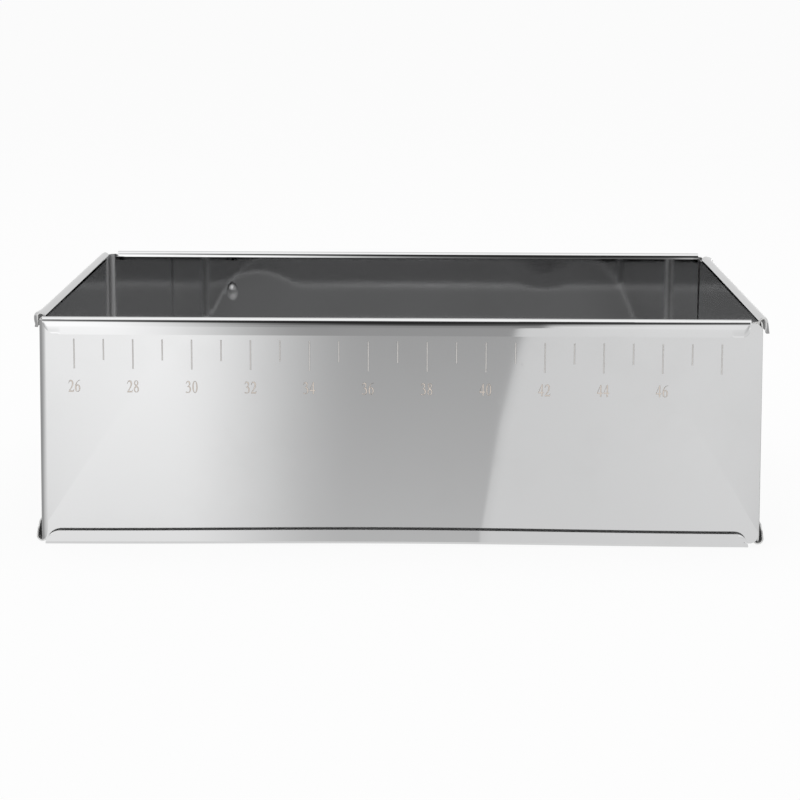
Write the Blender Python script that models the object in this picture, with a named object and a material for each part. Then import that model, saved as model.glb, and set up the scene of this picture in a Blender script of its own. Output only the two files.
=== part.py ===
"""Adjustable cake frame: four L-shaped steel sheets, two plain and two hemmed, that slide in one another.

Each sheet is drawn flat, cut along its bend lines and then bent. The flat drawing measures
along the sheet from one free end, and up and down from the middle of its height. Both run
along the middle of the sheet's thickness.
"""

import math

import bmesh
import bpy
from mathutils import Matrix, Vector

MM = 0.001

# The closed frame, over the outer faces of the plain sheets, and its height over both folds.
OUTER_LENGTH = 246.0 * MM
OUTER_WIDTH = 185.0 * MM
HEIGHT = 79.0 * MM

# The steel, and the air between two sheets that slide on each other.
SHEET = 0.5 * MM
CLEARANCE = 0.3 * MM

# Outside radii of the two upright bends.
PLAIN_BEND_RADIUS = 2.0 * MM
HEMMED_BEND_RADIUS = 3.0 * MM

# A hem leaves the wall round a first bend, runs flat, then turns down round a second bend.
WALL_FOLD_RADIUS = 1.2 * MM
STRIP_FOLD_RADIUS = 1.6 * MM
FOLD_FLAT = 0.8 * MM
STRIP_LEAN = math.radians(2.2)
TOP_HEM_DROP = 5.8 * MM
BOTTOM_HEM_DROP = 5.4 * MM

# How far a hemmed sheet's free end stays behind the outer face of the sheet that crosses it.
HEMMED_END_SETBACK = 1.8 * MM

# Corners of the flat sheets.
PLAIN_CORNER_RADIUS = 3.2 * MM
HEM_FREE_CORNER_RADIUS = 5.2 * MM
TOP_HEM_BEND_CORNER_RADIUS = 3.0 * MM
BOTTOM_HEM_BEND_CORNER_RADIUS = 5.2 * MM

# The cuts along the bend lines join a point that lies this near to them.
CUT_SNAP = 0.0005 * MM

# Flats in a quarter turn, for the bends and for the drawn corners.
BEND_STEPS = 12
CORNER_STEPS = 10

STEEL_COLOUR = (0.62, 0.62, 0.61, 1.0)
STEEL_ROUGHNESS = 0.22
SMOOTH_ANGLE = math.radians(30.0)

QUARTER_TURN = math.pi / 2
HALF_TURN = math.pi
UP = Vector((0.0, 1.0))
ALONG = Vector((1.0, 0.0))


def centre_radius(outside_radius):
    """The radius of a bend at the middle of the sheet's thickness."""
    return outside_radius - SHEET / 2


def arc(outside_radius, angle):
    """One bend of a walk: its length along the middle of the sheet, and its turn to the left."""
    return centre_radius(outside_radius) * abs(angle), angle


def straight(length):
    """One flat run of a walk."""
    return length, 0.0


def right_of(heading):
    return Vector((heading.y, -heading.x))


def walk(start, heading, runs):
    """Stations along a bent sheet: distance, middle point and the direction to its right.

    There is one at each end of a flat run and one at each step round a bend.
    """
    point = start.copy()
    heading = heading.copy()
    distance = 0.0
    stations = [(distance, point.copy(), right_of(heading))]
    for length, angle in runs:
        steps = max(math.ceil(BEND_STEPS * abs(angle) / QUARTER_TURN), 1)
        turn = angle / steps
        step = length / steps
        chord = step
        if angle:
            chord = math.sin(turn / 2) * 2 * step / turn
        for _ in range(steps):
            heading.rotate(Matrix.Rotation(turn / 2, 2))
            point += heading * chord
            heading.rotate(Matrix.Rotation(turn / 2, 2))
            distance += step
            stations.append((distance, point.copy(), right_of(heading)))
    return stations


def at_distance(stations, distance):
    """The middle point and the direction to the right at any distance along a walk."""
    for before, after in zip(stations, stations[1:]):
        if distance <= after[0]:
            break
    share = (distance - before[0]) / (after[0] - before[0])
    return before[1].lerp(after[1], share), before[2].lerp(after[2], share)


def rounded(corners):
    """A closed outline with each corner, given as along, up and radius, drawn as an arc."""
    points = []
    for index, (along, up, radius) in enumerate(corners):
        corner = Vector((along, up))
        if not radius:
            points.append(corner)
            continue
        before = Vector(corners[index - 1][:2])
        after = Vector(corners[(index + 1) % len(corners)][:2])
        back = (before - corner).normalized() * radius
        on = (after - corner).normalized() * radius
        centre = corner + back + on
        for step in range(CORNER_STEPS + 1):
            angle = QUARTER_TURN * step / CORNER_STEPS
            points.append(centre - on * math.cos(angle) - back * math.sin(angle))
    return points


def cut_flat(outline, along_lines, up_lines):
    """The flat sheet as one bmesh face, cut along every line that it is bent on."""
    flat = bmesh.new()
    flat.faces.new([flat.verts.new((point.x, point.y, 0.0)) for point in outline])
    cuts = [(ALONG, distance) for distance in along_lines]
    cuts += [(UP, distance) for distance in up_lines]
    for direction, distance in cuts:
        normal = direction.to_3d()
        geometry = flat.verts[:] + flat.edges[:] + flat.faces[:]
        bmesh.ops.bisect_plane(
            flat, geom=geometry, plane_co=normal * distance, plane_no=normal, dist=CUT_SNAP
        )
    return flat


def bend(flat, plan, section):
    """The flat sheet bent by its plan and section walks, as closed mesh data: points and faces."""

    def bent(along, up, side):
        middle, outward = at_distance(section, abs(up))
        reach, height = middle + outward * side * SHEET / 2
        corner, away = at_distance(plan, along)
        place = corner + away * reach
        return Vector((place.x, place.y, HEIGHT / 2 + math.copysign(height, up)))

    flat.verts.index_update()
    count = len(flat.verts)
    points = [bent(vert.co.x, vert.co.y, 1) for vert in flat.verts]
    points += [bent(vert.co.x, vert.co.y, -1) for vert in flat.verts]
    faces = []
    for face in flat.faces:
        outer = [vert.index for vert in face.verts]
        faces.append(outer)
        faces.append([index + count for index in reversed(outer)])
    for edge in flat.edges:
        if not edge.is_boundary:
            continue
        loop = edge.link_loops[0]
        first = loop.vert.index
        second = loop.link_loop_next.vert.index
        faces.append([second, first, first + count, second + count])
    return points, faces


def steel(name):
    """A polished stainless steel of its own for one sheet."""
    material = bpy.data.materials.new(name)
    material.use_nodes = True
    shader = material.node_tree.nodes["Principled BSDF"]
    shader.inputs["Base Color"].default_value = STEEL_COLOUR
    shader.inputs["Metallic"].default_value = 1.0
    shader.inputs["Roughness"].default_value = STEEL_ROUGHNESS
    material.diffuse_color = STEEL_COLOUR
    return material


def add_sheet(name, flat, plan, section, corner, turn):
    """One bent sheet as an object with its origin below its own outer corner."""
    points, faces = bend(flat, plan, section)
    flat.free()
    mesh = bpy.data.meshes.new(name)
    mesh.from_pydata(points, [], faces)
    mesh.validate()
    mesh.polygons.foreach_set("use_smooth", [True] * len(mesh.polygons))
    mesh.set_sharp_from_angle(angle=SMOOTH_ANGLE)
    mesh.materials.append(steel(name + "_steel"))
    sheet = bpy.data.objects.new(name, mesh)
    sheet.location = corner.to_3d()
    sheet.rotation_euler.z = turn
    bpy.context.scene.collection.objects.link(sheet)
    return sheet


def bend_lines(stations):
    """The distances of every station between a walk's two ends."""
    return [station[0] for station in stations[1:-1]]


def wall_half_height():
    """From the middle of the height to where a hem starts to curve, on every sheet."""
    return HEIGHT / 2 - WALL_FOLD_RADIUS


def hem_runs(drop):
    """The walk over a fold and down to the edge of its strip, drop below the fold's crest."""
    lean_turn = QUARTER_TURN - STRIP_LEAN
    radius = centre_radius(STRIP_FOLD_RADIUS)
    bend_drop = SHEET / 2 + radius * (1 - math.cos(lean_turn))
    return [
        arc(WALL_FOLD_RADIUS, -QUARTER_TURN),
        straight(FOLD_FLAT),
        arc(STRIP_FOLD_RADIUS, -lean_turn),
        straight((drop - bend_drop) / math.sin(lean_turn)),
    ]


def hem_edge(drop):
    """The flat distance from the middle of the height to the edge of a hem's strip."""
    return wall_half_height() + sum(length for length, _ in hem_runs(drop))


def add_plain(name, corner, turn):
    """A plain L, from its short leg's free end round the corner to its long leg's free end."""
    short = OUTER_WIDTH - SHEET - CLEARANCE - PLAIN_BEND_RADIUS
    long = OUTER_LENGTH - PLAIN_BEND_RADIUS
    half = wall_half_height()
    start = Vector((SHEET / 2, PLAIN_BEND_RADIUS + short))
    plan = walk(start, -UP, [straight(short), arc(PLAIN_BEND_RADIUS, QUARTER_TURN), straight(long)])
    section = walk(Vector((0.0, 0.0)), UP, [straight(half)])
    end = plan[-1][0]
    radius = PLAIN_CORNER_RADIUS
    outline = rounded(
        [(0.0, -half, radius), (end, -half, radius), (end, half, radius), (0.0, half, radius)]
    )
    flat = cut_flat(outline, bend_lines(plan), [])
    return add_sheet(name, flat, plan, section, corner, turn)


def add_hemmed(name, corner, turn):
    """A hemmed L, from its long leg's free end round the corner to its short leg's free end."""
    face = SHEET + CLEARANCE
    setback = HEMMED_END_SETBACK + face + HEMMED_BEND_RADIUS
    long = OUTER_LENGTH - setback
    short = OUTER_WIDTH - setback
    half = wall_half_height()
    start = Vector((HEMMED_END_SETBACK - OUTER_LENGTH, face + SHEET / 2))
    runs = [straight(long), arc(HEMMED_BEND_RADIUS, QUARTER_TURN), straight(short)]
    plan = walk(start, ALONG, runs)
    hems = hem_runs(max(TOP_HEM_DROP, BOTTOM_HEM_DROP))
    section = walk(Vector((0.0, 0.0)), UP, [straight(half)] + hems)
    end = plan[-1][0]
    turned = end - short
    top = hem_edge(TOP_HEM_DROP)
    bottom = hem_edge(BOTTOM_HEM_DROP)
    free = HEM_FREE_CORNER_RADIUS
    outline = rounded(
        [
            (0.0, -bottom, free),
            (long, -bottom, BOTTOM_HEM_BEND_CORNER_RADIUS),
            (long, -half, 0.0),
            (turned, -half, 0.0),
            (turned, -bottom, BOTTOM_HEM_BEND_CORNER_RADIUS),
            (end, -bottom, free),
            (end, top, free),
            (turned, top, TOP_HEM_BEND_CORNER_RADIUS),
            (turned, half, 0.0),
            (long, half, 0.0),
            (long, top, TOP_HEM_BEND_CORNER_RADIUS),
            (0.0, top, free),
        ]
    )
    folds = bend_lines(section)
    flat = cut_flat(outline, bend_lines(plan), folds + [-fold for fold in folds])
    return add_sheet(name, flat, plan, section, corner, turn)


def build():
    for old in list(bpy.data.objects):
        bpy.data.objects.remove(old)
    left = -OUTER_LENGTH / 2
    right = OUTER_LENGTH / 2
    front = -OUTER_WIDTH / 2
    back = OUTER_WIDTH / 2
    add_plain("scale_panel_front_left", Vector((left, front)), 0.0)
    add_hemmed("hemmed_panel_front_right", Vector((right, front)), 0.0)
    add_plain("scale_panel_back_right", Vector((right, back)), HALF_TURN)
    add_hemmed("hemmed_panel_back_left", Vector((left, back)), HALF_TURN)


build()
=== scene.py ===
"""Looks of an adjustable cake frame: sliding sheets of polished steel, and an etched scale."""

import math

import bmesh
import bpy
from bpy.props import FloatProperty, FloatVectorProperty, IntProperty, PointerProperty
from bpy.types import Operator, Panel, PropertyGroup
from mathutils import Matrix, Vector
from mathutils.geometry import tessellate_polygon


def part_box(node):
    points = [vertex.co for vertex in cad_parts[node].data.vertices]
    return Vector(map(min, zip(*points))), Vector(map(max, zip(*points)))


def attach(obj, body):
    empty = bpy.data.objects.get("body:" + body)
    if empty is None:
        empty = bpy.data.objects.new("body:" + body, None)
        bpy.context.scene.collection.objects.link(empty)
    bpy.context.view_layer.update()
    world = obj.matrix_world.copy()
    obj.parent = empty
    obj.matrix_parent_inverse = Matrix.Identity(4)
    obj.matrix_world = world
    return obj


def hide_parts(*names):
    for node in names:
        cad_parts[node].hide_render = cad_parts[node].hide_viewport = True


bl_info = {
    "name": "Adjustable Cake Frame",
    "version": (1, 0, 0),
    "blender": (4, 5, 0),
    "location": "3D View > Sidebar > Cake Frame",
    "description": "Builds the sheets, the etched scale and the studio of an adjustable cake frame",
    "category": "Object",
}

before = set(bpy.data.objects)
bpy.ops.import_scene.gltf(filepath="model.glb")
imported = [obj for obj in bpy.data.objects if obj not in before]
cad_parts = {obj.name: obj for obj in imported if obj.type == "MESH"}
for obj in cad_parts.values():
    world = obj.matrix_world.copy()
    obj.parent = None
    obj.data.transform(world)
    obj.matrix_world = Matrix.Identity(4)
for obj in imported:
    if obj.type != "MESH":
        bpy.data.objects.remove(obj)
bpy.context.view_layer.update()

MM = 0.001
QUARTER_TURN = math.pi / 2
ALONG = Vector((1.0, 0.0))
UP = Vector((0.0, 1.0))
FRONT_PLAIN_LOW, FRONT_PLAIN_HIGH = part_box("scale_panel_front_left")
BACK_PLAIN_LOW, BACK_PLAIN_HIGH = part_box("scale_panel_back_right")
HEMMED_LOW, HEMMED_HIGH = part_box("hemmed_panel_front_right")
HALF_TURN_MATRIX = Matrix.Rotation(math.pi, 4, "Z")

# The cuts along the bend lines join a point that lies this near to them.
CUT_SNAP = 0.0005 * MM
# Steps round a drawn corner, and between two points of a numeral's outline.
CORNER_STEPS = 14
OUTLINE_STEPS = 5
# Where the curl and the flare of a strip reach their full depth, above the strip's beginning, and
# the short strip's curl at the upright bend as a share of that at its free end.
CURL_FADE = 0.5 * MM
FLARE_FADE = 0.8 * MM
BEND_END_SHARE = 0.6
# Edges are broken where faces meet at more than this, and the walls beside them stay flat.
BROKEN_EDGE_ANGLE = math.radians(40)
FLAT_WALL_WEIGHT = 80
# The material slots of a sheet, and those of a scale.
POLISHED, SHEARED, RUBBED_PAINTED_LIGHT_HIGH, RUBBED_PAINTED_SHADE_LOW = range(4)
MARK, NUMERAL, OUTLINE = range(3)

# Noise cells in a metre along X, Y and Z: fine lines along the sheet, or even specks.
ROLLING_GRAIN = (60.0, 60.0, 9000.0)
RUBBED_LINES = (70.0, 70.0, 2400.0)
BLADE_MARKS = (2600.0, 2600.0, 2600.0)

# The stage, in metres: the lamp's place behind the middle, and the nearest and farthest thing seen.
LAMP_BACK = 0.15
CAMERA_REACH = (0.01, 100.0)
# The cards' height over the floor, and their gaps to the walls, inside and past each side.
CARD_HEIGHT = 0.0003
INSIDE_GAP = 0.0013
LONG_SIDE_GAP = 0.0028
SHORT_SIDE_GAP = 0.003
# The edge between the front's two screens: its place at the sheet, its drift to the right with
# distance, and the distances from which it drifts more.
EDGE_START, EDGE_DRIFT = 0.0202, 0.064
EDGE_BENDS = ((0.22, 0.0157), (0.5, 0.017))
# The left screen near the sheet and far away: brightness, its fall, and the sides it falls between.
NEAR_SCREEN = (1.12, 0.43, -0.104, -0.029)
FAR_SCREEN = (1.52, 1.15, -0.116, -0.018)
# Where the dark room begins, going up and to the side.
HORIZON_HEIGHT = 0.076
DARK_MIDDLE = 0.032


# Sizes and colours that a user may change.


def size(name, description, default):
    """A length property, given in millimetres and kept in metres."""
    return FloatProperty(
        name=name,
        description=description,
        default=default * MM,
        unit="LENGTH",
        subtype="DISTANCE",
        precision=5,
    )


def colour(name, description, default):
    return FloatVectorProperty(
        name=name, description=description, default=default, subtype="COLOR", min=0.0, max=2.0
    )


def number(name, description, default, **more):
    return FloatProperty(name=name, description=description, default=default, precision=4, **more)


def whole(name, description, default, **more):
    return IntProperty(name=name, description=description, default=default, **more)


class CakeFrameSheets(PropertyGroup):
    """Sizes of the four bent sheets."""

    outer_length: size(
        "Length",
        "Closed length over the plain sheets",
        (FRONT_PLAIN_HIGH.x - FRONT_PLAIN_LOW.x) / MM,
    )
    outer_width: size(
        "Width",
        "Closed width over the plain sheets",
        (BACK_PLAIN_HIGH.y - FRONT_PLAIN_LOW.y) / MM,
    )
    height: size("Height", "Height over both folds", (HEMMED_HIGH.z - HEMMED_LOW.z) / MM)
    thickness: size("Sheet", "Thickness of the steel", 0.5)
    clearance: size("Clearance", "Air between two sheets that slide on each other", 0.3)
    plain_bend: size("Plain bend", "Outside radius of a plain sheet's upright bend", 2.6)
    hemmed_bend: size("Hemmed bend", "Outside radius of a hemmed sheet's upright bend", 3.0)
    wall_fold: size("Wall fold", "Outside radius of an upper hem's bend at the wall", 1.8)
    top_fold: size("Top fold", "Outside radius of the long leg's upper hem at its strip", 1.85)
    top_flat: size("Top flat", "Flat between the two bends of the long leg's upper hem", 0.1)
    side_top_fold: size("Side top fold", "Outside radius of the short leg's upper hem", 1.7)
    bottom_fold: size("Bottom fold", "Outside radius of the long leg's lower hem", 1.7)
    side_bottom_fold: size("Side bottom fold", "Outside radius of the short leg's lower hem", 1.95)
    lead_in: size("Lead-in", "Gentle radius where the wall turns into the upper fold", 9.0)
    strip_crown: size("Strip crown", "Gentle radius where the upper hem's strip begins", 13.0)
    top_drop: size("Top hem", "Height of the long leg's upper hem, crest to edge", 5.8)
    side_top_drop: size("Side top hem", "Height of the short leg's upper hem", 5.9)
    bottom_drop: size("Bottom hem", "Height of the long leg's lower hem, crest to edge", 4.95)
    side_bottom_drop: size("Side bottom hem", "Height of the short leg's lower hem", 6.3)
    plain_setback: size("Plain edge", "Plain sheet's edges inside the folds' crests", 1.2)
    end_setback: size("End setback", "Hemmed free end behind the crossing sheet", 1.8)
    side_top_setback: size("Side top setback", "Short leg's upper hem behind that sheet", 9.5)
    side_bottom_setback: size("Side bottom setback", "Short leg's lower hem behind it", 3.2)
    end_slant: size("End slant", "How far the free ends run out towards the base", 0.75)
    plain_corner: size("Plain corner", "Corner radius of a plain sheet's free end", 3.2)
    hem_corner: size("Hem corner", "Corner radius of a hem at the free end", 5.2)
    hem_bend_corner: size("Hem bend corner", "Corner radius of the upper hem at the bend", 2.4)
    notch_slant: size("Notch slant", "How far the upper strip ends short of its fold", 0.8)
    fold_gap: size("Fold gap", "Air between an upper hem and the upright bend", 0.4)
    bend_setback: size("Bend edge", "Upright bend's top below the crests", 1.0)
    plain_end_gap: size("Plain end", "A plain long leg's end inside the closed length", 0.3)
    curl_length: size("Curl length", "How far from its ends the upper strip curls in", 1.0)
    curl_depth: size("Curl depth", "How far the upper strip's ends curl in", 0.42)
    flare_length: size("Flare length", "Where the short leg's upper strip begins to open", 14.0)
    flare_out: size("Flare", "How far the short leg's upper strip opens at its end", 1.15)
    side_curl_length: size("Side curl length", "How far from its ends that strip curls in", 2.4)
    side_curl_depth: size("Side curl depth", "How far that strip's free end curls in", 2.3)
    corner_in: size("Corner in", "A plain corner leans in at the top", 0.2)
    corner_out: size("Corner out", "A plain corner stands out at the base", 0.7)
    corner_fade: size("Corner fade", "Where the corner's lean ends along the long leg", 30.0)
    edge_round: size("Edge rounding", "Width of the broken edge round each sheet", 0.15)
    cut_spacing: size("Cut spacing", "Distance between cuts across a leg", 8.0)
    bottom_bow: size("Bottom bow", "How far the lower hem rises between its ends", 0.62)
    edge_bow: size("Edge bow", "How much further the lower hem's edge rises there", 0.3)
    dimple_from_corner: size("Dimple place", "Dimple's distance from the hemmed corner", 51.8)
    dimple_height: size("Dimple height", "Dimple's height above the base", 62.5)
    dimple_width: size("Dimple width", "Width of the pressed dimple", 5.0)
    dimple_length: size("Dimple length", "Height of the pressed dimple itself", 7.4)
    dimple_depth: size("Dimple depth", "How far the dimple is pressed in towards the cake", 0.30)
    dent_from_corner: size("Dent place", "Shallow dent's distance from the hemmed corner", 62.5)
    dent_height: size("Dent height", "Shallow dent's height above the base", 57.5)
    dent_radius: size("Dent radius", "Reach of the dent that pressing the dimple left", 18.5)
    dent_depth: size("Dent depth", "Depth of the shallow dent", 0.12)
    strip_lean: number("Strip lean", "Outward lean of the upper hem's edge, in degrees", 2.2)
    bottom_lean: number("Bottom lean", "Outward lean of the lower hem's edge, in degrees", 1.0)
    side_top_lean: number("Side top lean", "Lean of the short upper strip, in degrees", 9.0)
    side_bottom_lean: number("Side bottom lean", "Lean of the short lower strip, in degrees", -6.0)
    crease_turn: number("Crease turn", "Turn of the crease below the lead-in, in degrees", 3.7)
    lead_turn: number("Lead-in turn", "Turn of the wall's gentle lead-in, in degrees", 3.6)
    crown_turn: number("Crown turn", "Turn of the strip's gentle crown, in degrees", 6.0)
    bend_steps: whole("Bend steps", "Flats in a quarter turn of a bend", 20, min=4)


class CakeFrameScale(PropertyGroup):
    """Sizes of the etched centimetre scale."""

    spacing: size("Spacing", "Distance between two marks", 10.0)
    line_width: size("Line width", "Width of a mark over its outline", 0.46)
    outline_width: size("Outline width", "Width of the dark outline of marks and numerals", 0.055)
    long_mark: size("Long mark", "Height of a mark that has a number", 10.3)
    short_mark: size("Short mark", "Height of a mark between numbers", 7.3)
    first_mark: size("First mark", "First mark from the outer corner", 12.1)
    side_first_mark: size("First side mark", "First mark on the short leg", 13.8)
    below_crest: size("Below crest", "Top of the marks below the frame's top", 7.6)
    digit_height: size("Digit height", "Height of a numeral", 4.15)
    digit_width: size("Digit width", "Width of one numeral", 1.95)
    digit_gap: size("Digit gap", "Air between the two numerals of a number", 0.25)
    number_drop: size("Number drop", "Middle of a number below the top of the marks", 16.3)
    number_shift: size("Number shift", "How far a number's middle is beside its mark", -0.1)
    raised: size("Etch thickness", "How far the etched layer stands on the sheet", 0.012)
    tilt: number("Tilt", "Slope of the scale along the sheet, in degrees", -0.26)
    long_first: whole("First number", "First number on the long leg", 26)
    long_last: whole("Last mark", "Last mark on the long leg", 48)
    side_first: whole("Side first", "First number on the short leg", 20)
    side_last: whole("Side last", "Last mark on the short leg", 34)


class CakeFrameFinish(PropertyGroup):
    """Colours and surface of the steel and of the etched scale."""

    steel: colour("Steel", "Colour of the polished steel", (0.645, 0.647, 0.65))
    smudge: colour("Smudge", "Colour where handling has dulled the steel", (0.60, 0.60, 0.60))
    edge: colour("Cut edge", "Colour of the sheared edges", (0.70, 0.70, 0.69))
    # Rubbed wear and painted light: the upper hems' inside is pale and only partly metal, so that
    # it reads bright deep in the hem.
    rubbed: colour("Rubbed", "Colour of the rubbed inside of the upper hems", (0.80, 0.80, 0.79))
    # Painted shade: the lower hems' rubbed inside has a dark colour for the shade in their closed
    # channels.
    rubbed_low: colour("Rubbed low", "The same of the lower hems", (0.40, 0.40, 0.40))
    etch: colour("Etching", "Colour of the etched marks", (0.79, 0.77, 0.75))
    etch_number: colour("Etched numerals", "Colour of the numerals", (0.86, 0.77, 0.69))
    etch_outline: colour("Etched outline", "Colour of the marks' outlines", (0.065, 0.045, 0.035))
    roughness: number("Roughness", "Roughness of the polished steel", 0.045, min=0.0, max=1.0)
    dulling: number("Dulling", "Extra roughness in smudges", 0.05, min=0.0, max=1.0)
    inner_roughness: number("Inner roughness", "Roughness of the hemmed sheets", 0.024)
    inner_dulling: number("Inner dulling", "Extra roughness in the hemmed sheets' smudges", 0.012)
    edge_roughness: number("Edge roughness", "Roughness of the sheared edges", 0.34)
    etch_roughness: number("Etch roughness", "Roughness of the etched marks", 0.62)
    # Only partly metal, so that the hems' inside colours show as painted light above and painted
    # shade below.
    rubbed_metal: number("Rubbed metal", "How metallic the rubbed inside of the hems looks", 0.3)
    rubbed_roughness: number("Rubbed roughness", "Roughness inside the hems", 0.42)
    bend_wear: number("Bend wear", "Extra roughness round the hemmed sheets' bends", 0.26)
    side_wear: number("Side wear", "Extra roughness of the hemmed sheets' short legs", 0.06)
    dimple_wear: number("Dimple wear", "Extra roughness on the pressed dimple", 0.2)
    hemmed_turn: number("Hemmed turn", "Sideways slope of the hemmed long walls", 0.018)
    hemmed_lean: number("Hemmed lean", "Outward slope of the hemmed sheets' walls", 0.0037)
    wave_length: size("Wave length", "Distance between the sheet's slow waves", 95.0)
    wave_height: size("Wave height", "Height of the sheet's slow waves", 0.05)
    grain_height: size("Grain height", "Height of the fine rolling grain", 0.0004)


class CakeFrameStage(PropertyGroup):
    """Camera, floor, lamp and reflection cards."""

    camera_x: size("Camera X", "Camera place", 6.94)
    camera_y: size("Camera Y", "Camera place", -903.25)
    camera_z: size("Camera Z", "Camera place", 199.17)
    yaw: number("Yaw", "Camera's turn to the right, in radians", -0.00864)
    pitch: number("Pitch", "Camera's tilt down, in radians", 0.18104)
    roll: number("Roll", "Camera's roll, in radians", 0.00353)
    focal_length: number("Focal length", "Lens, in camera millimetres", 108.905)
    floor: colour("Floor", "Colour of the floor", (0.96, 0.96, 0.96))
    floor_glow: number("Floor glow", "Share of the floor that shows the plain background", 0.9)
    floor_size: size("Floor size", "Side of the square floor", 30000.0)
    background: number("Background", "Strength of the white background", 1.0)
    ambient: number("Ambient", "Strength of the light from all round", 0.85)
    key_power: number("Key power", "Power of the overhead lamp", 4.5)
    key_size: size("Key size", "Side of the overhead lamp", 1100.0)
    key_height: size("Key height", "Height of the overhead lamp", 1300.0)
    overhead: number("Overhead", "Brightness of the overhead screen in the steel", 1.35)
    dark_room: number("Dark room", "Brightness of the dark behind the camera", 0.03)
    # Painted shade: the floor inside the frame, as the steel shows it.
    inside: number("Inside", "Brightness of the floor in the frame, in the steel", 0.355)
    side_shade: number("Side shade", "Brightness of the floor at both sides, in the steel", 0.43)


# Sheets: drawn flat, cut along the bend lines and bent.


def centre_radius(outside_radius, sheets):
    """The radius of a bend at the middle of the sheet's thickness."""
    return outside_radius - sheets.thickness / 2


def arc(outside_radius, angle, sheets):
    """One bend of a walk: its length along the middle of the sheet, and its turn to the left."""
    return centre_radius(outside_radius, sheets) * abs(angle), angle


def right_of(heading):
    return Vector((heading.y, -heading.x))


def walk(start, heading, runs, steps_in_quarter):
    """Stations along a bent sheet: distance, middle point and the direction to its right."""
    point = start.copy()
    heading = heading.copy()
    distance = 0.0
    stations = [(distance, point.copy(), right_of(heading))]
    for length, angle in runs:
        steps = max(math.ceil(steps_in_quarter * abs(angle) / QUARTER_TURN), 1)
        turn = angle / steps
        step = length / steps
        chord = step
        if angle:
            chord = math.sin(turn / 2) * 2 * step / turn
        for _ in range(steps):
            heading.rotate(Matrix.Rotation(turn / 2, 2))
            point += heading * chord
            heading.rotate(Matrix.Rotation(turn / 2, 2))
            distance += step
            stations.append((distance, point.copy(), right_of(heading)))
    return stations


def at_distance(stations, distance):
    """The middle point and the direction to the right at any distance along a walk."""
    for before, after in zip(stations, stations[1:]):
        if distance <= after[0]:
            break
    share = (distance - before[0]) / (after[0] - before[0])
    return before[1].lerp(after[1], share), before[2].lerp(after[2], share)


def bend_lines(stations):
    """The distances of every station between a walk's two ends."""
    return [station[0] for station in stations[1:-1]]


def rounded(corners):
    """A closed outline with each corner, given as along, up and radius, drawn as an arc."""
    points = []
    for index, (along, up, radius) in enumerate(corners):
        corner = Vector((along, up))
        if not radius:
            points.append(corner)
            continue
        before = Vector(corners[index - 1][:2])
        after = Vector(corners[(index + 1) % len(corners)][:2])
        back = (before - corner).normalized() * radius
        on = (after - corner).normalized() * radius
        centre = corner + back + on
        for step in range(CORNER_STEPS + 1):
            angle = QUARTER_TURN * step / CORNER_STEPS
            points.append(centre - on * math.cos(angle) - back * math.sin(angle))
    return points


def cut_flat(outline, along_lines, up_lines):
    """The flat sheet as a bmesh, cut along every line that it is bent on."""
    flat = bmesh.new()
    flat.faces.new([flat.verts.new((point.x, point.y, 0.0)) for point in outline])
    cuts = [(ALONG, distance) for distance in along_lines]
    cuts += [(UP, distance) for distance in up_lines]
    for direction, distance in cuts:
        normal = direction.to_3d()
        geometry = flat.verts[:] + flat.edges[:] + flat.faces[:]
        bmesh.ops.bisect_plane(
            flat, geom=geometry, plane_co=normal * distance, plane_no=normal, dist=CUT_SNAP
        )
    return flat


def spaced_cuts(low, high, spacing):
    """Distances of evenly spaced cuts between two ends, leaving the ends themselves out."""
    count = max(round((high - low) / spacing), 1)
    return [low + (high - low) * index / count for index in range(1, count)]


def even_lines(middle, half, count):
    """Evenly spaced cuts across a pressed place, so that it has faces of its own."""
    return [middle + half * (2 * index / count - 1) for index in range(count + 1)]


def pressed(distance):
    """The share of its depth that a pressed place has, from 1 in its middle to 0 at distance 1."""
    return 0.5 + 0.5 * math.cos(math.pi * min(distance, 1.0))


def curled(from_end, from_edge, reach, length):
    """The share of its curl that a strip has at a place near its end, whose corner is rounded."""
    distance = from_end
    if from_edge < reach:
        distance = reach - math.hypot(reach - from_end, reach - from_edge)
    return max(1 - max(distance, 0.0) / length, 0.0)


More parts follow.
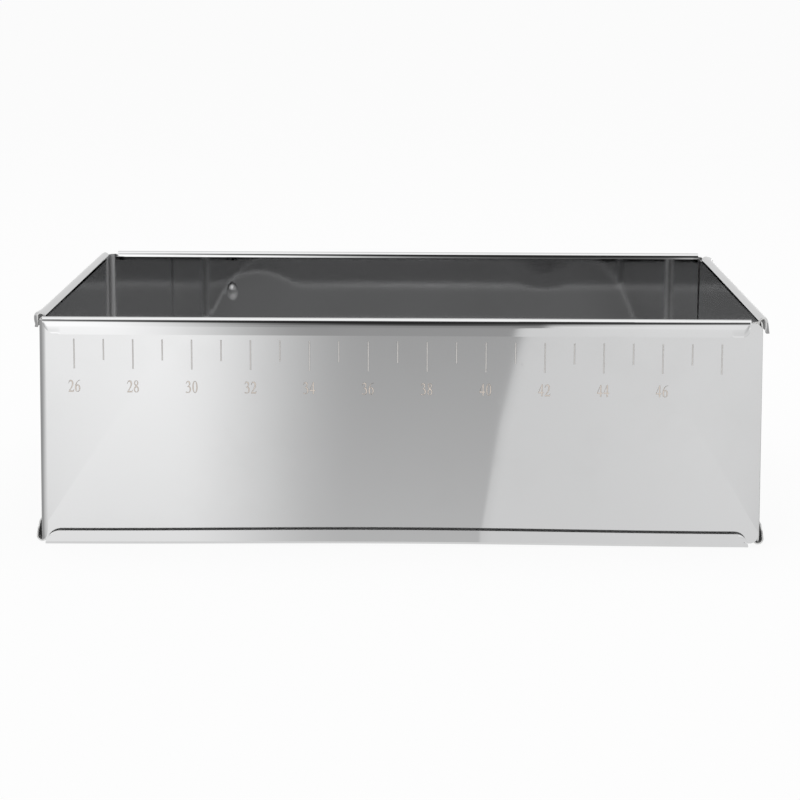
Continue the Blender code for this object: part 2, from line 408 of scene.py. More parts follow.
class Pressing:
    """Where a hemmed sheet is pressed out of true, given on the flat drawing.

    strip gives where the long leg's upper strip begins and ends going up, and its two ends along.
    side_strip gives the same for the short leg's.
    """

    def __init__(self, strip, side_strip, sheets):
        from_end = sheets.outer_length - sheets.end_setback
        middle = sheets.height / 2
        self.sheets = sheets
        self.dimple = Vector((from_end - sheets.dimple_from_corner, sheets.dimple_height - middle))
        self.dent = Vector((from_end - sheets.dent_from_corner, sheets.dent_height - middle))
        self.half_width = sheets.dimple_width / 2
        self.half_length = sheets.dimple_length / 2
        self.strip_start, self.top, self.strip_ends = strip
        self.side_start, self.side_top, self.side_ends = side_strip

    def along_lines(self):
        curl, side_curl = self.sheets.curl_length, self.sheets.side_curl_length
        start, end = self.strip_ends
        lines = even_lines(self.dimple.x, self.half_width, 14)
        lines += even_lines(self.dent.x, self.sheets.dent_radius, 20)
        lines += even_lines(start + curl, curl, 12) + even_lines(end - curl, curl, 12)
        for past in (self.sheets.hem_corner, self.sheets.hem_corner + MM):
            lines += [start + past, end - past]
        start, end = self.side_ends
        half_flare = self.sheets.flare_length / 2
        lines += even_lines(start + side_curl / 2, side_curl / 2, 12)
        lines += even_lines(end - side_curl, side_curl, 20)
        return lines + even_lines(end - half_flare, half_flare, 8)

    def up_lines(self):
        lines = even_lines(self.dimple.y, self.half_length, 14)
        middle, half = (self.strip_start + self.top) / 2, (self.top - self.strip_start) / 2
        lines += even_lines(middle, half, 10)
        return lines + even_lines(0.0, self.sheets.height / 2 - 2 * self.sheets.top_fold, 26)

    def curl(self, along, up):
        """How far the long upper strip's rounded ends turn in towards the wall."""
        reach = self.sheets.hem_corner
        from_end = min(abs(along - end) for end in self.strip_ends)
        if up < self.strip_start or from_end >= reach:
            return 0.0
        share = curled(from_end, self.top - up, reach, self.sheets.curl_length)
        fade = (1 - from_end / reach) ** 2 * min((up - self.strip_start) / CURL_FADE, 1.0)
        return self.sheets.curl_depth * share**2.5 * fade

    def tucked(self, along, up, end, reach):
        """How much of its full depth the short upper strip curls in by, near one of its ends."""
        from_end = abs(along - end)
        if from_end >= reach:
            return 0.0
        share = curled(from_end, self.side_top - up, reach, self.sheets.side_curl_length)
        return share**1.6 * (1 - from_end / reach) ** 0.7

    def flare(self, along, up):
        """How far the short upper strip opens at its end, less what its ends curl in by."""
        if up < self.side_start:
            return 0.0
        rise = up - self.side_start
        quick = min(rise / FLARE_FADE, 1.0)
        begin, end = self.side_ends
        out = self.sheets.flare_out * max(1 - (end - along) / self.sheets.flare_length, 0.0) ** 2
        tucked = self.tucked(along, up, end, self.sheets.hem_corner)
        tucked += BEND_END_SHARE * self.tucked(along, up, begin, self.sheets.hem_bend_corner)
        tucked *= (quick + rise / (self.side_top - self.side_start)) / 2
        return out * quick - self.sheets.side_curl_depth * tucked

    def push(self, along, up):
        """How far a point of the sheet moves outwards."""
        across = (along - self.dimple.x) / self.half_width
        above = (up - self.dimple.y) / self.half_length
        dimple = self.sheets.dimple_depth * pressed(math.hypot(across, above))
        from_dent = (Vector((along, up)) - self.dent).length / self.sheets.dent_radius
        dent = self.sheets.dent_depth * pressed(from_dent)
        return dent - dimple - self.curl(along, up) + self.flare(along, up)


def bend(flat, plan, section, sheets, push=None, shift=None, rubbed=None):
    """The flat sheet bent by its plan and its sections, up and down from mid height.

    section gives the section's walk at a place, push moves a point outwards, and shift moves it
    as it stands. rubbed gives the finish of the side that a plain sheet rubs on. Returns the
    points, the faces and each face's finish.
    """

    def bent(along, up, side):
        middle, outward = at_distance(section(along, up), abs(up))
        reach, height = middle + outward * side * sheets.thickness / 2
        if push:
            reach += push(along, up)
        corner, away = at_distance(plan, along)
        place = corner + away * reach
        point = Vector((place.x, place.y, sheets.height / 2 + math.copysign(height, up)))
        return point + shift(along, up, point.z) if shift else point

    flat.verts.index_update()
    count = len(flat.verts)
    points = [bent(vert.co.x, vert.co.y, 1) for vert in flat.verts]
    points += [bent(vert.co.x, vert.co.y, -1) for vert in flat.verts]
    faces = []
    finishes = []
    for face in flat.faces:
        outer = [vert.index for vert in face.verts]
        faces += [outer, [index + count for index in reversed(outer)]]
        outside = rubbed(face.calc_center_median().y) if rubbed else POLISHED
        finishes += [outside, POLISHED]
    for edge in flat.edges:
        if not edge.is_boundary:
            continue
        loop = edge.link_loops[0]
        first = loop.vert.index
        second = loop.link_loop_next.vert.index
        faces.append([second, first, first + count, second + count])
        finishes.append(SHEARED)
    return points, faces, finishes


def add_mesh(name, points, faces, materials):
    """A mesh object in the scene, with the materials in its slots."""
    mesh = bpy.data.meshes.new(name)
    mesh.from_pydata(points, [], faces)
    for material in materials:
        mesh.materials.append(material)
    piece = bpy.data.objects.new(name, mesh)
    bpy.context.scene.collection.objects.link(piece)
    return piece


def add_sheet(name, shape, corner, turned, materials, sheets):
    """One bent sheet as an object in the frame's own coordinates."""
    points, faces, finishes = shape
    matrix = Matrix.Translation(corner)
    if turned:
        matrix = HALF_TURN_MATRIX @ matrix
    sheet = add_mesh(name, [matrix @ point for point in points], faces, materials)
    sheet.data.polygons.foreach_set("use_smooth", [True] * len(faces))
    sheet.data.polygons.foreach_set("material_index", finishes)
    edges = sheet.modifiers.new("broken_edges", "BEVEL")
    edges.width = sheets.edge_round
    edges.segments = 2
    edges.material = SHEARED
    edges.limit_method = "ANGLE"
    edges.angle_limit = BROKEN_EDGE_ANGLE
    normals = sheet.modifiers.new("flat_walls", "WEIGHTED_NORMAL")
    normals.mode = "FACE_AREA"
    normals.keep_sharp = True
    normals.weight = FLAT_WALL_WEIGHT
    return sheet


def strip_runs(fold, lean, drop, sheets, upper):
    """The walk down over a hem's outer bend and its strip, to an edge drop below the crest."""
    radius = centre_radius(fold, sheets)
    crown = centre_radius(sheets.strip_crown, sheets)
    end_turn = QUARTER_TURN - math.radians(lean)
    tight_turn = end_turn - math.radians(sheets.crown_turn) * upper
    bend_drop = sheets.thickness / 2 + radius * (1 - math.cos(tight_turn))
    bend_drop += crown * (math.cos(tight_turn) - math.cos(end_turn))
    strip = ((drop - bend_drop) / math.sin(end_turn), 0.0)
    if not upper:
        return [arc(fold, -tight_turn, sheets), strip]
    crowned = arc(sheets.strip_crown, tight_turn - end_turn, sheets)
    return [arc(fold, -tight_turn, sheets), crowned, strip]


def upper_hem(fold, flat, lean, drop, sheets):
    """The walk from mid height up the wall, through a crease and a lead-in, and over the fold."""
    radius = centre_radius(sheets.wall_fold, sheets)
    lead = centre_radius(sheets.lead_in, sheets)
    crease = math.radians(sheets.crease_turn)
    led = crease + math.radians(sheets.lead_turn)
    rise = sheets.thickness / 2 + radius * (math.sin(crease) + 1 - math.sin(led))
    rise += lead * (math.sin(led) - math.sin(crease))
    runs = [
        (sheets.height / 2 - rise, 0.0),
        arc(sheets.wall_fold, -crease, sheets),
        arc(sheets.lead_in, crease - led, sheets),
        arc(sheets.wall_fold, led - QUARTER_TURN, sheets),
        (flat, 0.0),
    ]
    return runs + strip_runs(fold, lean, drop, sheets, True)


def lower_hem(fold, lean, drop, sheets):
    """The walk from mid height down the wall and round the lower fold."""
    runs = [(sheets.height / 2 - fold, 0.0), arc(fold, -QUARTER_TURN, sheets)]
    return runs + strip_runs(fold, lean, drop, sheets, False)


def corner_shift(height, sheets):
    """How far a plain sheet's corner and short leg stand in from true at a height."""
    return sheets.corner_in - (sheets.corner_in + sheets.corner_out) * (1 - height / sheets.height)


def plain_shape(sheets):
    """A plain L, from its short leg's free end round the corner to its long leg's free end."""
    short = sheets.outer_width - sheets.thickness - sheets.clearance - sheets.plain_bend
    long = sheets.outer_length - sheets.plain_bend - sheets.plain_end_gap
    half = sheets.height / 2 - sheets.plain_setback
    start = Vector((sheets.thickness / 2, sheets.plain_bend + short))
    runs = [(short, 0.0), arc(sheets.plain_bend, QUARTER_TURN, sheets), (long, 0.0)]
    plan = walk(start, -UP, runs, sheets.bend_steps)
    stations = walk(Vector((0.0, 0.0)), UP, [(half, 0.0)], 1)
    end = plan[-1][0]
    turned = end - long
    radius = sheets.plain_corner
    foot = end + sheets.end_slant
    corners = ((0.0, -half), (foot, -half), (end, half), (0.0, half))
    outline = rounded([(*corner, radius) for corner in corners])
    lines = bend_lines(plan) + spaced_cuts(turned, end, sheets.cut_spacing)
    flat = cut_flat(outline, lines, spaced_cuts(-half, half, sheets.cut_spacing))

    def lean(along, up, z):
        fade = 1 - min(max((along - turned) / sheets.corner_fade, 0.0), 1.0)
        return ALONG.to_3d() * corner_shift(z, sheets) * fade

    shape = bend(flat, plan, lambda along, up: stations, sheets, shift=lean)
    flat.free()
    return shape


def hemmed_shape(sheets):
    """A hemmed L, from its long leg's free end round the corner to its short leg's free end."""
    face = sheets.thickness + sheets.clearance
    setback = sheets.end_setback + face + sheets.hemmed_bend
    long = sheets.outer_length - setback
    short = sheets.outer_width - setback
    start = Vector((sheets.end_setback - sheets.outer_length, face + sheets.thickness / 2))
    runs = [(long, 0.0), arc(sheets.hemmed_bend, QUARTER_TURN, sheets), (short, 0.0)]
    plan = walk(start, ALONG, runs, sheets.bend_steps)
    hems = (
        upper_hem(sheets.top_fold, sheets.top_flat, sheets.strip_lean, sheets.top_drop, sheets),
        upper_hem(sheets.side_top_fold, 0.0, sheets.side_top_lean, sheets.side_top_drop, sheets),
        lower_hem(sheets.bottom_fold, sheets.bottom_lean, sheets.bottom_drop, sheets),
        lower_hem(
            sheets.side_bottom_fold, sheets.side_bottom_lean, sheets.side_bottom_drop, sheets
        ),
    )
    above, side_above, below, side_below = (
        walk(Vector((0.0, 0.0)), UP, runs, sheets.bend_steps) for runs in hems
    )
    upright = walk(Vector((0.0, 0.0)), UP, [(sheets.height / 2, 0.0)], 1)
    end = plan[-1][0]
    turned = end - short
    top, side_top, bottom, side_bottom = (
        stations[-1][0] for stations in (above, side_above, below, side_below)
    )
    high, side_high, low = above[1][0], side_above[1][0], side_below[1][0]
    bend_top = sheets.height / 2 - sheets.bend_setback
    top_end = end - sheets.side_top_setback + sheets.end_setback
    bottom_end = end - sheets.side_bottom_setback + sheets.end_setback
    free, slant, gap = sheets.hem_corner, sheets.end_slant, sheets.fold_gap
    corner, notch = sheets.hem_bend_corner, sheets.notch_slant
    outline = rounded(
        [
            (-slant, -bottom, free),
            (long + notch / 2, -bottom, free - notch),
            (long, -low, 0.0),
            (turned, -low, 0.0),
            (turned, -side_bottom, free - notch),
            (bottom_end, -side_bottom, free),
            (bottom_end, -low, 0.0),
            (end, -low, 0.0),
            (end, side_high, 0.0),
            (top_end, side_high, 0.0),
            (top_end, side_top, free),
            (turned + gap + notch, side_top, corner),
            (turned + gap, side_high, 0.0),
            (turned, side_high, 0.0),
            (turned, bend_top, 0.0),
            (long, bend_top, 0.0),
            (long, high, 0.0),
            (long - gap, high, 0.0),
            (long - gap - notch, top, corner),
            (0.0, top, free),
        ]
    )
    strip_low = sum(length for length, _ in hems[2][:3])
    strip_start = sum(length for length, _ in hems[0][:6])
    side_start = sum(length for length, _ in hems[1][:4])
    strip = (strip_start, top, (0.0, long - gap - notch))
    side_strip = (side_start, side_top, (turned + gap + notch, top_end))
    pressing = Pressing(strip, side_strip, sheets)
    along_lines = bend_lines(plan) + pressing.along_lines()
    along_lines += spaced_cuts(0.0, long, sheets.cut_spacing)
    along_lines += spaced_cuts(turned, end, sheets.cut_spacing)
    up_lines = bend_lines(above) + bend_lines(side_above)
    up_lines += [-line for line in bend_lines(below) + bend_lines(side_below)]
    up_lines += [0.0] + pressing.up_lines()

    def section(along, up):
        if up > 0:
            if along < long - gap / 2:
                return above
            return side_above if along > turned + gap / 2 else upright
        return below if along <= long else side_below

    def bow(along, up, z):
        """The lower hem of the long leg rises a little between its ends, and the wall with it."""
        if along >= long or z >= sheets.height / 2:
            return Vector((0.0, 0.0, 0.0))
        rise = math.sin(math.pi * max(along, 0.0) / long) ** 2
        up_strip = max((-up - strip_low) / (bottom - strip_low), 0.0)
        most = sheets.bottom_bow * (1 - z / (sheets.height / 2)) + sheets.edge_bow * up_strip
        return Vector((0.0, 0.0, most * rise))

    # Inside faces of the upper hems get the pale finish of painted light, those of the lower hems
    # the dark finish of painted shade.
    def rubbed(up):
        if up > high:
            return RUBBED_PAINTED_LIGHT_HIGH
        return RUBBED_PAINTED_SHADE_LOW if up < -low else POLISHED

    flat = cut_flat(outline, along_lines, up_lines)
    shape = bend(flat, plan, section, sheets, pressing.push, bow, rubbed)
    flat.free()
    return shape


# Numerals, as closed outlines on a box one wide and one high. A point with True is a sharp corner.

OVAL = [(math.cos(math.radians(a)), math.sin(math.radians(a))) for a in range(0, 360, 30)]


def oval(x, y, half_width, half_height):
    return [(x + half_width * cos, y + half_height * sin) for cos, sin in OVAL]


DIGITS = {
    "0": ([*oval(0.5, 0.5, 0.46, 0.5)], [oval(0.5, 0.5, 0.23, 0.455)]),
    "2": (
        [
            (0.03, 0.70, True), (0.17, 0.91), (0.46, 1.0), (0.76, 0.93),
            (0.90, 0.74), (0.82, 0.54), (0.58, 0.33), (0.27, 0.11, True),
            (0.70, 0.11, True), (0.84, 0.13), (0.93, 0.22, True), (0.99, 0.21, True),
            (0.91, 0.0, True), (0.02, 0.0, True), (0.02, 0.03, True), (0.35, 0.30),
            (0.58, 0.52), (0.65, 0.70), (0.56, 0.85), (0.38, 0.89),
            (0.21, 0.84), (0.09, 0.70, True),
        ],
        [],
    ),
    "3": (
        [
            (0.05, 0.77, True), (0.19, 0.94), (0.45, 1.0), (0.72, 0.94),
            (0.82, 0.79), (0.75, 0.66), (0.60, 0.58, True), (0.82, 0.49),
            (0.93, 0.33), (0.85, 0.13), (0.60, 0.02), (0.30, 0.0),
            (0.08, 0.02), (0.03, 0.07), (0.11, 0.11), (0.26, 0.09),
            (0.44, 0.05), (0.62, 0.11), (0.70, 0.27), (0.63, 0.42),
            (0.47, 0.49), (0.30, 0.50, True), (0.30, 0.535, True), (0.50, 0.60),
            (0.60, 0.73), (0.53, 0.86), (0.38, 0.90), (0.22, 0.86),
            (0.10, 0.76, True),
        ],
        [],
    ),
    "4": (
        [
            (0.62, 1.0, True), (0.77, 1.0, True), (0.77, 0.35, True), (0.98, 0.35, True),
            (0.98, 0.25, True), (0.77, 0.25, True), (0.77, 0.0, True), (0.55, 0.0, True),
            (0.55, 0.25, True), (0.02, 0.25, True), (0.02, 0.33, True),
        ],
        [[(0.55, 0.35, True), (0.14, 0.35, True), (0.55, 0.83, True)]],
    ),
    "6": (
        [
            (0.95, 1.0, True), (0.62, 0.94), (0.30, 0.79), (0.08, 0.54),
            (0.04, 0.30), (0.16, 0.09), (0.48, 0.0), (0.80, 0.07),
            (0.96, 0.30), (0.88, 0.51), (0.62, 0.62), (0.42, 0.60),
            (0.29, 0.54, True), (0.38, 0.73), (0.62, 0.90), (0.96, 0.97, True),
        ],
        [oval(0.51, 0.29, 0.225, 0.255)],
    ),
    "8": (
        [
            (0.50, 1.0), (0.76, 0.94), (0.86, 0.79), (0.77, 0.65),
            (0.64, 0.56), (0.84, 0.43), (0.95, 0.24), (0.80, 0.06),
            (0.50, 0.0), (0.20, 0.06), (0.05, 0.24), (0.15, 0.41),
            (0.35, 0.53), (0.20, 0.65), (0.13, 0.79), (0.24, 0.94),
        ],
        [oval(0.49, 0.79, 0.19, 0.155), oval(0.50, 0.24, 0.235, 0.185)],
    ),
}


def smooth_outline(points):
    """A closed outline through the points, curved wherever a point isn't a sharp corner."""
    places = [Vector(point[:2]) for point in points]
    sharp = [len(point) == 3 for point in points]
    count = len(points)
    outline = []
    for index in range(count):
        on = (index + 1) % count
        here, there = places[index], places[on]
        if sharp[index] and sharp[on]:
            outline.append(here)
            continue
        before = here if sharp[index] else places[index - 1]
        after = there if sharp[on] else places[(index + 2) % count]
        out_slope = (there - before) / 2
        in_slope = (after - here) / 2
        for step in range(OUTLINE_STEPS):
            t = step / OUTLINE_STEPS
            point = here * (2 * t**3 - 3 * t**2 + 1) + there * (3 * t**2 - 2 * t**3)
            point += out_slope * (t**3 - 2 * t**2 + t) + in_slope * (t**3 - t**2)
            outline.append(point)
    return outline


def stroke_at_left(outline, is_outer):
    """Whether a figure's stroke lies at the left of its outer outline, or of a hole's."""
    area = sum(a.cross(b) for a, b in zip(outline, outline[1:] + outline[:1]))
    return (area > 0) == is_outer


def narrowed(outlines, reach):
    """A figure's outlines, the outer one first, with its strokes narrower by reach each side."""
    figure = []
    for index, outline in enumerate(outlines):
        out = -reach if stroke_at_left(outline, index == 0) else reach
        around = zip(outline[-1:] + outline[:-1], outline, outline[1:] + outline[:1])
        figure.append(
            [here + right_of((after - before).normalized()) * out for before, here, after in around]
        )
    return figure


class EtchedLayer:
    """Flat figures laid side by side on a wall, each as a dark thin plate with a pale one on it."""

    def __init__(self, scale):
        self.scale = scale
        self.points = []
        self.faces = []
        self.finishes = []

    def figure(self, outlines, finish, place):
        """Adds a figure. place turns a point of its outlines and a height into one in space."""
        raised = self.scale.raised
        self.plate(outlines, 0.0, raised / 2, place)
        self.finishes += [OUTLINE] * (len(self.faces) - len(self.finishes))
        self.plate(narrowed(outlines, self.scale.outline_width), raised / 2, raised, place)
        self.finishes += [finish] * (len(self.faces) - len(self.finishes))

    def plate(self, outlines, low, high, place):
        """Adds one plate between two heights over the wall."""
        flat = [point for outline in outlines for point in outline]
        first = len(self.points)
        count = len(flat)
        self.points += [place(point, high) for point in flat]
        self.points += [place(point, low) for point in flat]
        rings = [[point.to_3d() for point in outline] for outline in outlines]
        for triangle in tessellate_polygon(rings):
            a, b, c = (flat[index] for index in triangle)
            if (b - a).cross(c - a) < 0:
                triangle = tuple(reversed(triangle))
            self.faces.append([first + index for index in triangle])
            self.faces.append([first + count + index for index in reversed(triangle)])
        start = first
        for order, outline in enumerate(outlines):
            corners = len(outline)
            outwards = stroke_at_left(outline, order == 0)
            for index in range(corners):
                a = start + index
                b = start + (index + 1) % corners
                side = [b, a, a + count, b + count]
                self.faces.append(side if outwards else list(reversed(side)))
            start += corners

    def mark(self, x, top, length, place):
        """One upright line of the scale."""
        left, right = x - self.scale.line_width / 2, x + self.scale.line_width / 2
        corners = [(left, top - length), (right, top - length), (right, top), (left, top)]
        self.figure([[Vector(corner) for corner in corners]], MARK, place)

    def number(self, text, x, middle, place):
        """A number with its middle at x and at height middle."""
        width, height = self.scale.digit_width, self.scale.digit_height
        pitch = width + self.scale.digit_gap
        left = x - (pitch * len(text) - self.scale.digit_gap) / 2
        low = middle - height / 2
        for index, digit in enumerate(text):
            outer, holes = DIGITS[digit]
            outlines = [
                [
                    Vector((left + index * pitch + point.x * width, low + point.y * height))
                    for point in smooth_outline(outline)
                ]
                for outline in (outer, *holes)
            ]
            self.figure(outlines, NUMERAL, place)


def add_scale(name, turned, materials, sheets, scale):
    """The etched scales of one plain sheet, on both of its legs, as one object."""
    layer = EtchedLayer(scale)
    left, front = -sheets.outer_length / 2, -sheets.outer_width / 2
    top = sheets.height - scale.below_crest
    slope = math.tan(math.radians(scale.tilt))

    def on_long(point, out):
        z = point.y + slope * (point.x - scale.first_mark)
        return Vector((left + point.x, front - out, z))

    def on_short(point, out):
        return Vector((left + corner_shift(point.y, sheets) - out, front - point.x, point.y))

    legs = (
        (on_long, 1, scale.first_mark, scale.long_first, scale.long_last),
        (on_short, -1, scale.side_first_mark, scale.side_first, scale.side_last),
    )
    for place, way, first, low, high in legs:
        for reading in range(low, high + 1):
            x = way * (first + (reading - low) * scale.spacing)
            even = reading % 2 == 0
            length = scale.long_mark if even else scale.short_mark
            layer.mark(x, top, length, place)
            if even and reading < high:
                middle = x + scale.number_shift
                layer.number(str(reading), middle, top - scale.number_drop, place)
    marks = add_mesh(name, layer.points, layer.faces, materials)
    if turned:
        marks.data.transform(HALF_TURN_MATRIX)
    marks.data.polygons.foreach_set("material_index", layer.finishes)
    return marks


# Materials.


class Value:
    """A socket with a number on it. Python's own operators add the Math nodes."""

    def __init__(self, shader, socket):
        self.shader = shader
        self.socket = socket

    def math(self, operation, *others):
        inputs = dict(enumerate((self, *others)))
        return self.shader.value("ShaderNodeMath", {"operation": operation}, inputs)

    def __add__(self, other):
        return self.math("ADD", other)

    def __sub__(self, other):
        return self.math("SUBTRACT", other)

    def __rsub__(self, other):
        return self.shader.number(other).math("SUBTRACT", self)

    def __mul__(self, other):
        return self.math("MULTIPLY", other)

    def __truediv__(self, other):
        return self.math("DIVIDE", other)

    def __rtruediv__(self, other):
        return self.shader.number(other).math("DIVIDE", self)

    def __pow__(self, other):
        return self.math("POWER", other)

    __radd__ = __add__
    __rmul__ = __mul__

    def over(self, low, high):
        """0 below low, 1 above high, and a smooth step between them."""
        settings = {"interpolation_type": "SMOOTHSTEP"}
        inputs = {"Value": self, "From Min": low, "From Max": high}
        return self.shader.value("ShaderNodeMapRange", settings, inputs)


class Shader:
    """A material or a world being built from nodes."""

    def __init__(self, owner):
        owner.use_nodes = True
        self.owner = owner
        self.tree = owner.node_tree
        self.tree.nodes.clear()

    def node(self, kind, settings=None, inputs=None):
        """Adds a node, sets its settings, then fills or links its sockets."""
        node = self.tree.nodes.new(kind)
        for name, setting in (settings or {}).items():
            setattr(node, name, setting)
        for name, given in (inputs or {}).items():
            socket = node.inputs[name]
            if isinstance(given, Value):
                self.tree.links.new(given.socket, socket)
            elif isinstance(given, bpy.types.NodeSocket):
                self.tree.links.new(given, socket)
            else:
                socket.default_value = given
        return node

    def value(self, kind, settings, inputs):
        return Value(self, self.node(kind, settings, inputs).outputs[0])

    def number(self, number_given):
        node = self.node("ShaderNodeValue")
        node.outputs[0].default_value = number_given
        return Value(self, node.outputs[0])

    def coordinates(self):
        return self.node("ShaderNodeTexCoord").outputs["Object"]

    def parts(self, vector):
        """The three numbers of a vector."""
        node = self.node("ShaderNodeSeparateXYZ", None, {0: vector})
        return [Value(self, output) for output in node.outputs]

    def scaled(self, vector, factors):
        """A vector times a length on each axis."""
        inputs = {0: vector, 1: factors}
        return self.node("ShaderNodeVectorMath", {"operation": "MULTIPLY"}, inputs).outputs[0]

    def noise(self, vector, scale, detail=2.0, roughness=0.5):
        """Noise from 0 to 1 whose cells are 1 / scale metres across."""
        inputs = {"Vector": vector, "Scale": scale, "Detail": detail, "Roughness": roughness}
        return self.value("ShaderNodeTexNoise", None, inputs)

    def mix(self, factor, first, second):
        """A colour between two, by factor."""
        inputs = {0: factor, 6: first, 7: second}
        return self.node("ShaderNodeMix", {"data_type": "RGBA"}, inputs).outputs[2]

    def bump(self, height):
        """A normal from a height in metres."""
        inputs = {"Height": height, "Distance": 1.0, "Strength": 1.0}
        return self.node("ShaderNodeBump", None, inputs).outputs[0]

    def principled(self, **inputs):
        """The surface shader, whose socket names are written with _ for a space."""
        named = {name.replace("_", " "): given for name, given in inputs.items()}
        return self.node("ShaderNodeBsdfPrincipled", None, named)

    def output(self, surface, kind="ShaderNodeOutputMaterial"):
        self.node(kind, None, {"Surface": surface.outputs[0]})


def rgba(triple):
    return (*triple, 1.0)


def finished(shader, share, colours, metallic, roughness, height):
    """The material, with a colour between two by share and a relief of this height in metres."""
    first, second = colours
    surface = shader.principled(
        Base_Color=shader.mix(share, rgba(first), rgba(second)),
        Metallic=metallic,
        Roughness=roughness,
        Normal=shader.bump(height),
    )
    shader.output(surface)
    return shader.owner


def polished_steel(name, finish, seed, worn=None, tilt=None):
    """Bright rolled steel with slow waves, faint smudges and a fine grain along the sheet.

    worn gives, from the shader and the place, the extra roughness of bends and pressings. tilt is
    the slope by which the whole sheet leans out of true, along X and going up.
    """
    shader = Shader(bpy.data.materials.new(name))
    here = shader.coordinates()
    place = shader.node(
        "ShaderNodeVectorMath", {"operation": "ADD"}, {0: here, 1: (seed, 0.6 * seed, 0.0)}
    ).outputs[0]
    smudges = shader.noise(place, 26.0, 4.0, 0.6).over(0.45, 0.80)
    specks = shader.noise(place, 420.0, 2.0, 0.5).over(0.66, 0.80)
    height = shader.noise(place, 1.0 / finish.wave_length, 1.0, 0.3) * finish.wave_height
    grain = shader.noise(shader.scaled(place, ROLLING_GRAIN), 1.0, 2.0, 0.6)
    height += grain * finish.grain_height
    roughness = finish.roughness + finish.dulling * smudges + 0.04 * specks
    if worn:
        roughness = finish.inner_roughness + finish.inner_dulling * smudges + worn(shader, here)
        x, _, z = shader.parts(here)
        height += x * tilt[0] + z * tilt[1]
    return finished(shader, smudges * 0.5, (finish.steel, finish.smudge), 1.0, roughness, height)


def hemmed_wear(sheets, finish, way):
    """Where a hemmed sheet is duller: round its upright bend, and on its dimple. way is 1 or -1."""
    face = sheets.thickness + sheets.clearance + sheets.hemmed_bend
    bend_x = sheets.outer_length / 2 - face
    bend_y = face - sheets.outer_width / 2
    dimple_x = sheets.outer_length / 2 - sheets.dimple_from_corner

    def worn(shader, here):
        x, y, z = shader.parts(shader.scaled(here, (way, way, 1.0)))
        bend = (x - bend_x).over(0.0, MM) * (bend_y - y).over(0.0, MM)
        across = (x - dimple_x) / sheets.dimple_width
        above = (z - sheets.dimple_height) / sheets.dimple_length
        dimple = 1 - (across * across + above * above).over(0.1, 0.3)
        front = (bend_y - y).over(0.0, MM)
        side = (x - bend_x).over(0.0, MM) * (1 - front)
        wear = bend * finish.bend_wear + dimple * front * finish.dimple_wear
        return wear + side * finish.side_wear

    return worn


def rubbed_steel(name, rubbed, finish):
    """The inside of a hem, dulled where the plain sheet rubs on it, in a pale colour of painted
    light in the upper hems and a dark colour of painted shade in the lower ones.
    """
    shader = Shader(bpy.data.materials.new(name))
    rubs = shader.noise(shader.scaled(shader.coordinates(), RUBBED_LINES), 1.0, 3.0, 0.6)
    colours = (0.88 * Vector(rubbed), rubbed)
    roughness = finish.rubbed_roughness + 0.1 * rubs
    height = rubs * (4 * finish.grain_height)
    return finished(shader, rubs, colours, finish.rubbed_metal, roughness, height)


def sheared_edge(finish):
    """The sheared edge of a sheet, duller than its faces, with the marks of the blade across it."""
    shader = Shader(bpy.data.materials.new("sheared_steel_edge"))
    marks = shader.noise(shader.scaled(shader.coordinates(), BLADE_MARKS), 1.0, 2.0, 0.6)
    roughness = finish.edge_roughness + 0.1 * marks
    height = marks * (4 * finish.grain_height)
    return finished(shader, marks, (finish.edge, finish.smudge), 1.0, roughness, height)


def etched_mark(name, etch, finish):
    """The matt, slightly brown frosting that etching leaves on the steel."""
    shader = Shader(bpy.data.materials.new(name))
    place = shader.coordinates()
    frost = shader.noise(place, 3000.0, 3.0, 0.7)
    patches = shader.noise(place, 160.0, 2.0, 0.5)
    colours = (etch, 0.85 * Vector(etch))
    roughness = finish.etch_roughness + 0.2 * frost
    height = frost * (6 * finish.grain_height)
    return finished(shader, frost * patches, colours, 0.0, roughness, height)


def seen_background(shader):
    """1 for rays from the camera, from a mirror or through glass, else 0."""
    rays = shader.node("ShaderNodeLightPath").outputs
    seen = Value(shader, rays["Is Camera Ray"]) + Value(shader, rays["Is Glossy Ray"])
    return (seen + Value(shader, rays["Is Transmission Ray"])).math("MINIMUM", 1.0)


def floor_material(stage):
    """A pale floor that reads as white from the camera and in the steel, and keeps some shadow."""
    shader = Shader(bpy.data.materials.new("pale_floor"))
    grain = shader.noise(shader.coordinates(), 900.0, 2.0, 0.5)
    inputs = {"Color": rgba(stage.floor), "Normal": shader.bump(grain * 0.00001)}
    lit = shader.node("ShaderNodeBsdfDiffuse", None, inputs)
    glow = shader.node("ShaderNodeEmission", None, {"Strength": stage.background})
    inputs = {0: seen_background(shader) * stage.floor_glow, 1: lit.outputs[0], 2: glow.outputs[0]}
    shader.output(shader.node("ShaderNodeMixShader", None, inputs))
    return shader.owner


# Operators: one for each group of pieces and one for the stage.


class CAKEFRAME_OT_plain_sheets(Operator):
    """Build the two plain L-shaped sheets"""

    bl_idname = "cakeframe.plain_sheets"
    bl_label = "Plain Sheets"

    def execute(self, context):
        sheets = context.scene.cakeframe_sheets
        finish = context.scene.cakeframe_finish
        shape = plain_shape(sheets)
        corner = Vector((-sheets.outer_length / 2, -sheets.outer_width / 2, 0.0))
        for place, turned in (("front_left", False), ("back_right", True)):
            name = f"plain_sheet_{place}"
            steel = polished_steel(f"plain_steel_{place}", finish, 0.31 + turned)
            materials = (steel, sheared_edge(finish))
            sheet = add_sheet(name, shape, corner, turned, materials, sheets)
            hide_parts(f"scale_panel_{place}")
            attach(sheet, f"scale_{place}")
        return {"FINISHED"}


